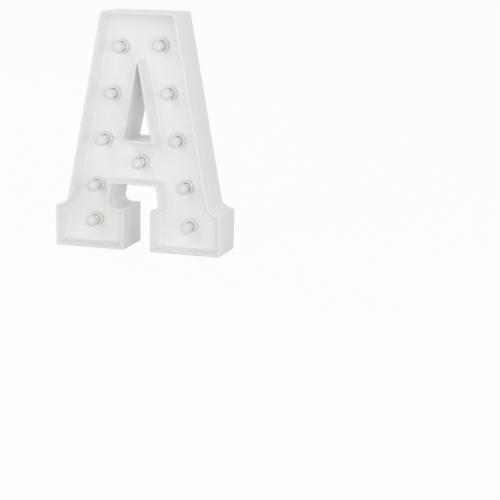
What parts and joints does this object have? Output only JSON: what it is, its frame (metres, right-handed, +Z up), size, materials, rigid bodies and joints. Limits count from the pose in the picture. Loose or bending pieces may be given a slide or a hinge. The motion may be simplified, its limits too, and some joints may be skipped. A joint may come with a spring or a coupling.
{
  "type": "light-up letter",
  "caption": "Free-standing letter A lamp: open-fronted plastic housing with globe bulbs, screwed back cover, hinged battery door and slide switch.",
  "frame": {"origin": "middle of the letter's footprint, on the surface it stands on", "axes": "+X to the right seen from the front, +Y from the open front to the back cover, +Z up"},
  "size_m": [0.162, 0.045, 0.22],
  "materials": {
    "shell_plastic": "satin moulded",
    "socket_plastic": "satin moulded",
    "bulb_milky": "milky gloss",
    "led_epoxy": "clear gloss",
    "screw_steel": "zinc plated",
    "switch_can": "tin plated",
    "switch_plastic": "matt",
    "contact_metal": "nickel plated",
    "cell_wrap": "gloss wrap",
    "wire_red": "matt",
    "wire_black": "matt"
  },
  "bodies": {
    "housing": {"front_shell": "shell_plastic", "back_cover": "shell_plastic", "cover_screws": "screw_steel", "switch_body": "switch_can", "battery_cell_1": "cell_wrap", "battery_cell_2": "cell_wrap", "contact_positive": "contact_metal", "contact_negative": "contact_metal", "contact_bridge": "contact_metal", "battery_spring_1": "contact_metal", "battery_spring_2": "contact_metal", "wire_loom_positive": "wire_red", "wire_loom_negative": "wire_black", "switch_lead": "wire_red", "bulb_cap_1": "bulb_milky", "bulb_cap_2": "bulb_milky", "bulb_cap_3": "bulb_milky", "bulb_cap_4": "bulb_milky", "bulb_cap_5": "bulb_milky", "bulb_cap_6": "bulb_milky", "bulb_cap_7": "bulb_milky", "bulb_cap_8": "bulb_milky", "bulb_cap_9": "bulb_milky", "bulb_cap_10": "bulb_milky", "bulb_cap_11": "bulb_milky", "bulb_socket_1": "socket_plastic", "bulb_socket_2": "socket_plastic", "bulb_socket_3": "socket_plastic", "bulb_socket_4": "socket_plastic", "bulb_socket_5": "socket_plastic", "bulb_socket_6": "socket_plastic", "bulb_socket_7": "socket_plastic", "bulb_socket_8": "socket_plastic", "bulb_socket_9": "socket_plastic", "bulb_socket_10": "socket_plastic", "bulb_socket_11": "socket_plastic", "bulb_led_1": "led_epoxy", "bulb_led_2": "led_epoxy", "bulb_led_3": "led_epoxy", "bulb_led_4": "led_epoxy", "bulb_led_5": "led_epoxy", "bulb_led_6": "led_epoxy", "bulb_led_7": "led_epoxy", "bulb_led_8": "led_epoxy", "bulb_led_9": "led_epoxy", "bulb_led_10": "led_epoxy", "bulb_led_11": "led_epoxy"},
    "door": {"battery_door": "shell_plastic"},
    "switch_knob": {"switch_slider": "switch_plastic"}
  },
  "joints": [
    {"name": "battery_door_hinge", "type": "hinge", "parent": "housing", "child": "door", "pos_m": [-0.03135, 0.021, 0.0825], "axis": [0, 0, 1], "range_deg": [0, 90]},
    {"name": "switch_slide", "type": "slide", "parent": "housing", "child": "switch_knob", "axis": [0, 0, 1], "range_m": [0, 0.003]}
  ]
}
